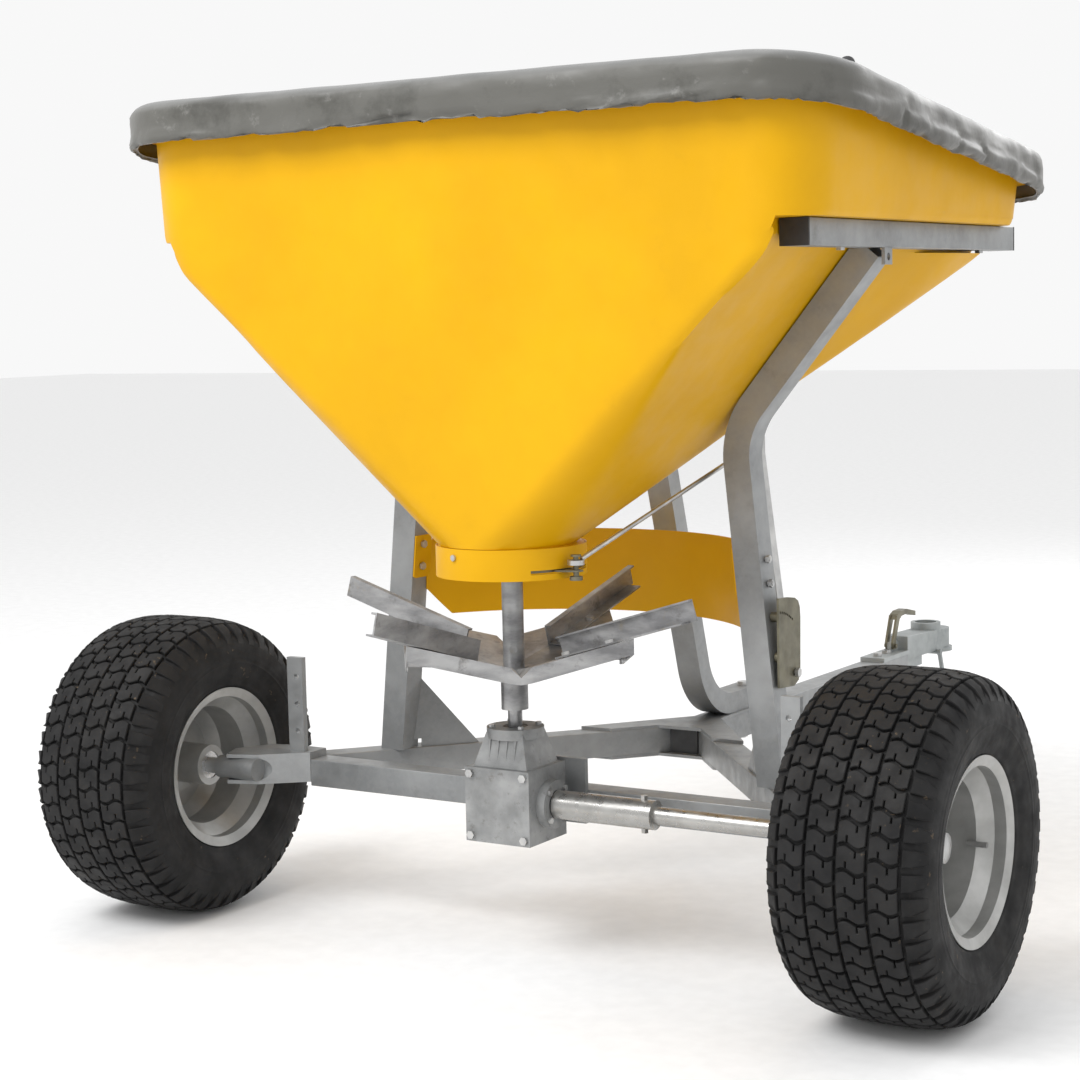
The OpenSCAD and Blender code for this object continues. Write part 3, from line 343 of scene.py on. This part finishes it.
class Crown:
    """The tyre's outer profile as a smooth path, by distance s from the centre line across the tread."""

    def __init__(self):
        points = np.array([(u * TYRE_HALF, TYRE_R - drop * MM) for u, drop in CROWN])
        run = np.r_[0, np.cumsum(np.linalg.norm(np.diff(points, axis=0), axis=1))]
        self.s = np.linspace(0, run[-1], 400)
        path = np.array([np.interp(self.s, run, points[:, k]) for k in (0, 1)]).T
        for _ in range(40):
            path[1:-1] = (path[:-2] + 2 * path[1:-1] + path[2:]) / 4
        self.path = path
        along = np.gradient(path, axis=0)
        along /= np.linalg.norm(along, axis=1)[:, None]
        self.normal = np.stack([-along[:, 1], along[:, 0]], axis=1)
        self.end = run[-1]

    def at(self, s, height):
        """(distance outward, radius) at s, raised by height off the profile."""
        side = -1 if s < 0 else 1
        p = [np.interp(abs(s), self.s, self.path[:, k]) + height * np.interp(abs(s), self.s,
             self.normal[:, k]) for k in (0, 1)]
        return side * p[0], p[1]


crown = Crown()


def groove_depth(s):
    """How far the carcass lies below the block tops: full on the tread, none down the sidewall."""
    return GROOVE * (1 - smoothstep((abs(s) - 0.108) / 0.05))


def outline_inset(outline, amount):
    """The closed outline moved inward by amount, corner by corner."""
    pts = np.array(outline)
    before, after = pts - np.roll(pts, 1, 0), np.roll(pts, -1, 0) - pts
    before /= np.linalg.norm(before, axis=1)[:, None]
    after /= np.linalg.norm(after, axis=1)[:, None]
    inward = np.stack([-(before + after)[:, 1], (before + after)[:, 0]], axis=1)
    inward /= np.maximum(np.linalg.norm(inward, axis=1), 1e-6)[:, None]
    half = np.clip((before * after).sum(1), -0.6, 1)
    return pts + inward * (amount / np.sqrt((1 + half) / 2))[:, None]


def block_outline():
    """An S-shaped tread block: wavy front and rear edges, each with a sipe. Anticlockwise, metres."""
    half_w, half_l, wave, sipe, cut = 22.3, 15.8, 4.2, 1.3, 13.0
    rear = [(p, -half_l + wave * math.sin(math.pi * p / half_w)) for p in np.linspace(-half_w, half_w, 11)]
    edge = {"rear": [], "front": []}
    for p, q in rear:
        edge["rear"].append((p, q))
        edge["front"].append((p, q + 2 * half_l))
    at = 7.4
    rear_cut = [(at - sipe, edge_q(at, half_l, wave, half_w, -1)), (at - sipe, -half_l + cut),
                (at + sipe, -half_l + cut), (at + sipe, edge_q(at, half_l, wave, half_w, -1))]
    front_cut = [(-at + sipe, edge_q(-at, half_l, wave, half_w, 1)), (-at + sipe, half_l - cut),
                 (-at - sipe, half_l - cut), (-at - sipe, edge_q(-at, half_l, wave, half_w, 1))]
    rear_pts = [e for e in edge["rear"] if e[0] < at - 2] + rear_cut + [e for e in edge["rear"]
                                                                       if e[0] > at + 2]
    front = edge["front"][::-1]
    front_pts = [e for e in front if e[0] > -at + 2] + front_cut + [e for e in front if e[0] < -at - 2]
    return [(p * MM, q * MM) for p, q in rear_pts + front_pts]


def edge_q(p, half_l, wave, half_w, side):
    return side * half_l + wave * math.sin(math.pi * p / half_w)


def lug_outline():
    """A shoulder lug: from beside the outer blocks, over the shoulder, with a rounded outer end."""
    start, half_l = 103 * MM, 13.2 * MM
    rear = [(s, -half_l * (1 - 0.25 * smoothstep((s - 0.125) / 0.03))) for s in np.linspace(start, LUG_END, 8)]
    front = [(s, -q) for s, q in rear[::-1]]
    return rear + front


def tyre(side, name, body):
    """Hollow carcass with brick-laid tread blocks, shoulder lugs and ribbed sidewalls."""
    verts, faces = [], []
    centre = Vector((side * WHEEL.x, WHEEL.y, WHEEL.z))

    def place(outward, radius, angle):
        return centre + Vector((side * outward, radius * math.cos(angle), radius * math.sin(angle)))

    steps = np.r_[np.linspace(0, 0.1, 9)[:-1], np.linspace(0.1, crown.end, 46)]
    outer = [crown.at(s, rib(s) - groove_depth(s)) for s in steps]
    lip = outer[-1]
    inner = [(lip[0] - 14 * MM, lip[1] - 2 * MM), (lip[0] - 12 * MM, lip[1] + 20 * MM)]
    inner += [(0.9 * TYRE_HALF, TYRE_R - 62 * MM), (0.82 * TYRE_HALF, TYRE_R - 40 * MM),
              (0.6 * TYRE_HALF, TYRE_R - 28 * MM), (0, TYRE_R - 24 * MM)]
    half = outer + inner
    section = half + [(-u, r) for u, r in half[::-1][1:-1]]
    turns = 184
    for u, r in section:
        verts += [place(u, r, 2 * math.pi * k / turns) for k in range(turns)]
    faces += ring_faces(len(section), turns, True)

    def block(outline, s_shift, turn, flip, base):
        rings = [(outline_inset(outline, 1.1 * MM), -0.1 * MM), (outline, -1.3 * MM),
                 (outline_inset(outline, -0.6 * MM), -base)]
        start = len(verts)
        count = len(outline)
        for shape, height in rings:
            for p, q in shape:
                s = flip * (p + s_shift)
                u, r = crown.at(s, height)
                verts.append(place(u, r, turn + q / TYRE_R))
        faces.append(tuple(range(start, start + count)))
        faces.append(tuple(range(start + 3 * count - 1, start + 2 * count - 1, -1)))
        for k in range(2):
            for i in range(count):
                a, b = start + k * count, start + (k + 1) * count
                faces.append((a + i, b + i, b + (i + 1) % count, a + (i + 1) % count))

    brick, lug = block_outline(), lug_outline()
    for row in range(TREAD_ROWS):
        for column in range(COLUMNS):
            turn = 2 * math.pi * (row + 0.5 * (column % 2)) / TREAD_ROWS
            block(brick, (column - (COLUMNS - 1) / 2) * COLUMN_PITCH, turn, 1, GROOVE + 1.5 * MM)
        for flip in (-1, 1):
            turn = 2 * math.pi * (row + 0.25 + 0.5 * (flip > 0)) / TREAD_ROWS
            block(lug, 0, turn, flip, GROOVE + 1.0 * MM)
    return piece(name, verts, faces, "tyre_rubber", body, [name.replace("tyre_tread", "tyre")], 32)


def rib(s):
    """Raised rings on the sidewall."""
    return sum(h * MM * math.exp(-((abs(s) - at) / wide) ** 2)
               for at, wide, h in ((0.178, 0.0022, 1.2), (0.186, 0.0022, 1.2), (0.232, 0.004, 2.0)))


# ---------------------------------------------------------------- hopper
SPIN_X = 20 * MM
NECK_Z = 730 * MM
FOLD_Z = 1262 * MM
RIM_Z = 1462 * MM
RIM_SLOPE = math.tan(math.radians(7))
HOPPER_REAR = -152 * MM
WALL = 6 * MM
LIP = 40 * MM
MOUTH_Z = NECK_Z - 32 * MM
THROAT_Z = NECK_Z - 1 * MM
NECK_OUTER = 126 * MM
NECK_INNER = 116 * MM
# Plan of the hopper at four heights, in mm about the axle: z, the box of its corner centres, the radius
PLANS = [(730, 20, 20, -12, -12, 117), (1201, -540, 545, -93, 662, 56), (1262, -555, 555, -52, 696, 100),
         (1492, -555, 555, -52, 696, 112)]
ARC_POINTS = 14
LONG_POINTS, SIDE_POINTS = 30, 44


def plan_at(z):
    """The plan's five numbers at height z, in metres, eased over the fold."""
    rows = np.array(PLANS, float) * MM
    spread = np.linspace(-1, 1, 7) * 11 * MM * (1 if z > NECK_Z + 20 * MM else 0)
    return [float(np.mean(np.interp(z + spread, rows[:, 0], rows[:, k]))) for k in range(1, 6)]


def rounded_plan(plan, grow, dense=1):
    """Points round a rounded rectangle grown by grow, anticlockwise from its rear left corner."""
    x0, x1, y0, y1, r = plan
    r += grow
    pts = []
    corners = ((x0, y0, 180, (x1, y0), LONG_POINTS), (x1, y0, 270, (x1, y1), SIDE_POINTS),
               (x1, y1, 0, (x0, y1), LONG_POINTS), (x0, y1, 90, (x0, y0), SIDE_POINTS))
    for cx, cy, start, after, many in corners:
        many, arc = many * dense, ARC_POINTS * dense
        for k in range(arc):
            a = math.radians(start + 90 * k / (arc - 1))
            pts.append((cx + r * math.cos(a), cy + r * math.sin(a)))
        a = math.radians(start + 90)
        off = (r * math.cos(a), r * math.sin(a))
        for k in range(1, many):
            t = k / many
            pts.append((cx + (after[0] - cx) * t + off[0], cy + (after[1] - cy) * t + off[1]))
    return pts


def soft_min(a, b, soft=4 * MM):
    return -soft * math.log(math.exp(-(a - min(a, b)) / soft) + math.exp(-(b - min(a, b)) / soft)) + min(a, b)


def side_limit(y, z, grow):
    """How far out the funnel's side may come: room for the beam and for the upright's sloping leg."""
    if z > FOLD_Z - 2.9 * MM:
        return 9.0
    ahead = smoothstep((y - 330 * MM) / (320 * MM)) * 44
    leg = 339.35 + (-28 + ahead + (z / MM - 910.8) * 0.6374) / 0.7705
    rear = 120 * smoothstep((-131 - y / MM) / 18)
    limit = leg + rear
    if z > 1210 * MM:
        limit = min(limit, 572 + rear) if z < FOLD_Z else limit
    return limit * MM + grow


def hopper_ring(z, grow):
    """One ring of the funnel at height z."""
    points = []
    for x, y in rounded_plan(plan_at(z), grow):
        limit = side_limit(y, z, grow)
        x = math.copysign(soft_min(abs(x), limit), x) if limit < 5 and abs(x) > 60 * MM else x
        points.append((x, y + AXLE_Y, z))
    return points


def rim_ring(share, grow, drop=0.0):
    """A ring of the upper band, share of the way from the fold to the sloping rim, lowered by drop."""
    points = []
    for x, y in rounded_plan(plan_at(FOLD_Z + share * (RIM_Z - FOLD_Z)), grow):
        rim = RIM_Z - (y - HOPPER_REAR) * RIM_SLOPE
        points.append((x, y + AXLE_Y, FOLD_Z + share * (rim - FOLD_Z) - drop))
    return points


def circle_ring(z, cx, cy, r):
    """A ring with the same number of points as the others, round the outlet."""
    return [(x, y + AXLE_Y, z) for x, y in rounded_plan((cx, cx, cy, cy, r), 0)]


def hopper():
    """Thin-walled moulded hopper: neck, funnel, soft fold, upright band and a flat lip at the rim."""
    funnel = np.r_[np.linspace(NECK_Z, 0.82, 8), np.linspace(0.83, 1.2, 38), np.linspace(1.204, 1.2095, 3),
                   np.linspace(1.2115, 1.2585, 10)]
    ledge = [FOLD_Z - 2.5 * MM, FOLD_Z + 1 * MM, FOLD_Z + 4 * MM, FOLD_Z + 8 * MM, FOLD_Z + 13 * MM]
    shares = np.linspace(0.1, 1, 14)
    rings = [circle_ring(z, SPIN_X, 0, NECK_OUTER) for z in (MOUTH_Z, THROAT_Z)]
    rings += [hopper_ring(z, 0) for z in funnel]
    rings += [hopper_ring(z, 0) for z in ledge]
    rings += [rim_ring(share, 0, 0 if share < 1 else 14 * MM) for share in shares]
    edge = LIP / MM
    lip = [(4, 9), (edge - 1.5, 8), (edge, 6.5), (edge, 1.5), (edge - 1.5, 0), (2, 0), (-3, 1.5), (-6, 6)]
    rings += [rim_ring(1, grow * MM, drop * MM) for grow, drop in lip]
    rings += [rim_ring(share, -WALL) for share in shares[::-1][1:]]
    rings += [hopper_ring(z, -WALL) for z in ledge[::-1][:4]]
    rings += [hopper_ring(z, -WALL) for z in funnel[::-1]]
    rings += [circle_ring(z, SPIN_X, 0, NECK_INNER) for z in (THROAT_Z, MOUTH_Z)]
    count = len(rings[0])
    verts = [p for ring in rings for p in ring]
    return piece("hopper_shell", verts, ring_faces(len(rings), count, True), "yellow_plastic", "chassis",
                 ["hopper"], 34)


# ---------------------------------------------------------------- cover
CLOTH_DENSE = 2
SIDE_RINGS = 22
TOP_RINGS = 30
GROWTH = 0.055
MOST_MOVE = 11 * MM
CLOTH_STEPS = 14
HEM_RINGS = 2
LOOSE_HOLD = 0.006
LIP_CLEAR = 4 * MM
# Heights above the rim, in mm, between which the cloth has to pass outside the lip
LIP_BAND = (-24, 22)
# Side of the cover from under the lip to the top, in mm: (growth beyond the rim, rise above it)
SIDE = [(34, -33), (42, -38.5), (48, -36), (50.5, -26), (49.5, -14), (47.6, -5), (46.8, 2),
        (48, 10), (49.5, 20), (48, 32), (42, 41), (32, 47), (16, 51), (-6, 53.5)]
CROWN_RISE = 14
SEAM_RISE = 2


def creases(x, y, z, sharp):
    """0 on smooth cloth, up to 1 along a fold line: the lines where noise crosses zero."""
    warp = noise.noise((x * 0.7, y * 0.7, z + 3)) * 0.8
    return (1 - min(abs(noise.noise((x + warp, y - warp, z))) * sharp, 1)) ** 2


def wrinkle(share, along, x, y, rise):
    """Small gathers on the cloth, in mm: (outward, up). share is 0 at the hem and 1 at the edge."""
    low = 1 - smoothstep(share / 0.4)
    pleat = 4.2 * low * noise.noise((along * 27, 2.5 * share, 1.7)) + 1.8 * noise.noise((along * 9, share, 4.1))
    small = 1.6 * creases(along * 9 - rise * 0.05, rise * 0.05 + along * 3, 8.0, 4)
    seam = -2.0 * math.exp(-((rise - SEAM_RISE) / 2.0) ** 2)
    calm = 1 - smoothstep((share - 0.8) / 0.2)
    top = 2.2 * creases(x * 2.1, y * 4.2, 2.2, 5) + 0.8 * noise.noise((x * 14, y * 14, 3.3)) - 1
    up = 2.0 * noise.noise((along * 12, 1.5 * share, 6.6)) * (0.4 + low)
    return (pleat + small) * calm + seam, up * calm + top * (1 - calm)


def buckle(obj, hem_count, outward, grown):
    """Lets the cloth grow against its held hem, so that it buckles into folds, and keeps it outside the lip.

    outward and grown are each point's direction away from the hopper (zero where it is free to move) and its
    distance beyond the rim.
    """
    rest = np.empty(len(obj.data.vertices) * 3)
    obj.data.vertices.foreach_get("co", rest)
    rest = rest.reshape(-1, 3)
    held = obj.vertex_groups.new(name="held")
    held.add(range(hem_count * HEM_RINGS), 1.0, "REPLACE")
    held.add(range(hem_count * HEM_RINGS, len(rest)), LOOSE_HOLD, "REPLACE")
    cloth = obj.modifiers.new("cloth", "CLOTH")
    cloth.settings.quality = 5
    cloth.settings.mass = 0.25
    cloth.settings.tension_stiffness = 25
    cloth.settings.compression_stiffness = 25
    cloth.settings.shear_stiffness = 12
    cloth.settings.bending_stiffness = 0.6
    cloth.settings.vertex_group_mass = "held"
    cloth.settings.shrink_min = -GROWTH
    cloth.settings.effector_weights.gravity = 0.25
    cloth.collision_settings.use_self_collision = False
    cloth.point_cache.frame_start, cloth.point_cache.frame_end = 1, CLOTH_STEPS
    for step in range(1, CLOTH_STEPS + 1):
        bpy.context.scene.frame_set(step)
    done = obj.evaluated_get(bpy.context.evaluated_depsgraph_get()).to_mesh()
    moved = np.empty(len(rest) * 3)
    done.vertices.foreach_get("co", moved)
    moved = moved.reshape(-1, 3) - rest
    far = np.maximum(np.linalg.norm(moved, axis=1), 1e-9)
    moved *= (MOST_MOVE * np.tanh(far / MOST_MOVE) / far)[:, None]
    spare = grown + (moved * outward).sum(1) - (LIP + LIP_CLEAR)
    beside_lip = np.linalg.norm(outward, axis=1) > 0.5
    moved += outward * np.where(beside_lip, np.maximum(-spare, 0), 0)[:, None]
    obj.modifiers.remove(cloth)
    bpy.context.scene.frame_set(1)
    obj.data.vertices.foreach_set("co", (rest + moved).ravel())
    obj.data.update()


def cover():
    """Fitted tarpaulin: gathered hem under the lip, a rounded side with a seam, and a creased top."""
    points = np.array(SIDE, float)
    length = np.r_[0, np.cumsum(np.linalg.norm(np.diff(points, axis=0), axis=1))]
    shares = np.linspace(0, 1, SIDE_RINGS)
    side = [[np.interp(t * length[-1], length, points[:, k]) for k in (0, 1)] for t in shares]
    for _ in range(3):
        side = [side[0]] + [[(a[k] + 2 * b[k] + c[k]) / 4 for k in (0, 1)]
                            for a, b, c in zip(side, side[1:], side[2:])] + [side[-1]]
    plan = plan_at(RIM_Z)
    base = rounded_plan(plan, 0, CLOTH_DENSE)
    inner = rounded_plan(plan, side[-1][0] * MM, CLOTH_DENSE)
    run = np.r_[0, np.cumsum([math.dist(a, b) for a, b in zip(base, base[1:])])]
    middle = np.mean(inner, axis=0)
    verts, outward, grown = [], [], []
    for k in range(SIDE_RINGS + TOP_RINGS):
        if k < SIDE_RINGS:
            grow, rise = side[k]
            ring, share = rounded_plan(plan, grow * MM, CLOTH_DENSE), shares[k]
        else:
            f = 1 - ((k - SIDE_RINGS + 1) / TOP_RINGS) * 0.985
            ring, share = [tuple(middle + (np.array(p) - middle) * f) for p in inner], 1.0
            rise = side[-1][1] + CROWN_RISE * (1 - f * f)
        for i, (x, y) in enumerate(ring):
            away = Vector((x - base[i][0], y - base[i][1], 0)) if share < 0.75 else Vector((0, 0, 0))
            away = away.normalized() if away.length > 1e-6 else Vector((0, 0, 0))
            out, up = wrinkle(share, run[i], x, y, rise)
            rim = RIM_Z - (y - HOPPER_REAR) * RIM_SLOPE
            beside = k < SIDE_RINGS and LIP_BAND[0] < rise < LIP_BAND[1]
            if beside:
                out = max(out, (LIP + LIP_CLEAR) / MM - grow)
            outward.append(away if beside else Vector((0, 0, 0)))
            grown.append(grow * MM + (out * MM if beside else 0))
            verts.append((x + away.x * out * MM, y + AXLE_Y + away.y * out * MM, rim + (rise + up) * MM))
    faces = ring_faces(SIDE_RINGS + TOP_RINGS, len(base), False)
    last = (SIDE_RINGS + TOP_RINGS - 1) * len(base)
    faces.append(tuple(range(last, last + len(base))))
    obj = piece("rain_cover", verts, faces, "cover_fabric", "cover", ["cover"], 180)
    buckle(obj, len(base), np.array(outward), np.array(grown))
    return obj


# ---------------------------------------------------------------- frame tubes
TUBES = ("crossmember", "left_rail", "right_rail", "drawbar", "left_side_beam", "right_side_beam")
TUBE_ROUND = 2.5 * MM
EDGE_ANGLE = math.radians(40)


def soften(name):
    """A copy of a plain tube with rounded edges, which stands for the sharp one."""
    source = frame["nodes"][name]
    work = bmesh.new()
    work.from_mesh(source.data)
    bmesh.ops.remove_doubles(work, verts=work.verts, dist=0.01 * MM)
    bmesh.ops.dissolve_limit(work, angle_limit=math.radians(1), verts=work.verts, edges=work.edges)
    edges = [e for e in work.edges if len(e.link_faces) == 2 and e.calc_face_angle(0) > EDGE_ANGLE
             and e.calc_length() > 40 * MM]
    bmesh.ops.bevel(work, geom=edges, offset=TUBE_ROUND, segments=3, profile=0.5, affect="EDGES",
                    clamp_overlap=True)
    bmesh.ops.triangulate(work, faces=work.faces)
    verts = [v.co.copy() for v in work.verts]
    work.verts.index_update()
    faces = [[v.index for v in face.verts] for face in work.faces]
    work.free()
    return piece(name + "_rolled", verts, faces, slot_of[name], "chassis", [name], 50)


# ---------------------------------------------------------------- stage
CAMERA_AT = Vector((2.1327, -3.2633 + AXLE_Y, 1.1296))
CAMERA_TURN = math.radians(32.1873)
CAMERA_PITCH = math.radians(5.839)
CAMERA_ROLL = math.radians(-1.2772)
LENS = 75.81


def camera():
    data = bpy.data.cameras.new("camera")
    data.lens = LENS
    data.sensor_width = 36
    data.clip_end = 60
    obj = bpy.data.objects.new("camera", data)
    bpy.context.scene.collection.objects.link(obj)
    ahead = Vector((-math.sin(CAMERA_TURN) * math.cos(CAMERA_PITCH),
                    math.cos(CAMERA_TURN) * math.cos(CAMERA_PITCH), -math.sin(CAMERA_PITCH)))
    right = Vector((math.cos(CAMERA_TURN), math.sin(CAMERA_TURN), 0))
    up = right.cross(ahead)
    rolled = math.cos(CAMERA_ROLL) * right + math.sin(CAMERA_ROLL) * up
    upright = -math.sin(CAMERA_ROLL) * right + math.cos(CAMERA_ROLL) * up
    obj.matrix_world = Matrix((rolled, upright, -ahead)).transposed().to_4x4()
    obj.location = CAMERA_AT
    bpy.context.scene.camera = obj


def area_light(name, at, aim, size, power):
    data = bpy.data.lights.new(name, "AREA")
    data.shape = "RECTANGLE"
    data.size, data.size_y = size
    data.energy = power
    obj = bpy.data.objects.new(name, data)
    bpy.context.scene.collection.objects.link(obj)
    obj.location = at
    obj.rotation_euler = (Vector(aim) - Vector(at)).to_track_quat("-Z", "Y").to_euler()


def stage():
    """Pale floor, white surroundings and soft lights from above, behind the camera and both sides."""
    mesh = bpy.data.meshes.new("floor")
    reach = 30
    corners = [(-reach, -reach, 0), (reach, -reach, 0), (reach, reach, 0), (-reach, reach, 0)]
    mesh.from_pydata(corners, [], [(0, 1, 2, 3)])
    mesh.materials.append(plain("floor_paint", (0.86, 0.86, 0.86), (0.9, 0.9, 0.9), 0, (0.75, 0.85), 60))
    floor = bpy.data.objects.new("floor", mesh)
    bpy.context.scene.collection.objects.link(floor)
    world = bpy.data.worlds.new("studio")
    world.use_nodes = True
    world.node_tree.nodes["Background"].inputs["Color"].default_value = (1, 1, 1, 1)
    world.node_tree.nodes["Background"].inputs["Strength"].default_value = 0.94
    bpy.context.scene.world = world
    area_light("key", (-1.2, -4.2, 4.4), (0, -0.6, 0.8), (3.2, 2.4), 190)
    area_light("side", (5.0, -1.0, 2.6), (0, -0.4, 0.8), (2.4, 2.4), 8)
    area_light("front", (1.0, 4.5, 3.2), (0, 0.2, 0.8), (3.0, 2.0), 60)
    bpy.context.scene.view_settings.view_transform = "Standard"


dress_frame()
camera()
hopper()
cover()
for tube in TUBES:
    soften(tube)
tyre(1, "right_tyre_tread", "right_wheel")
tyre(-1, "left_tyre_tread", "left_wheel")
stage()
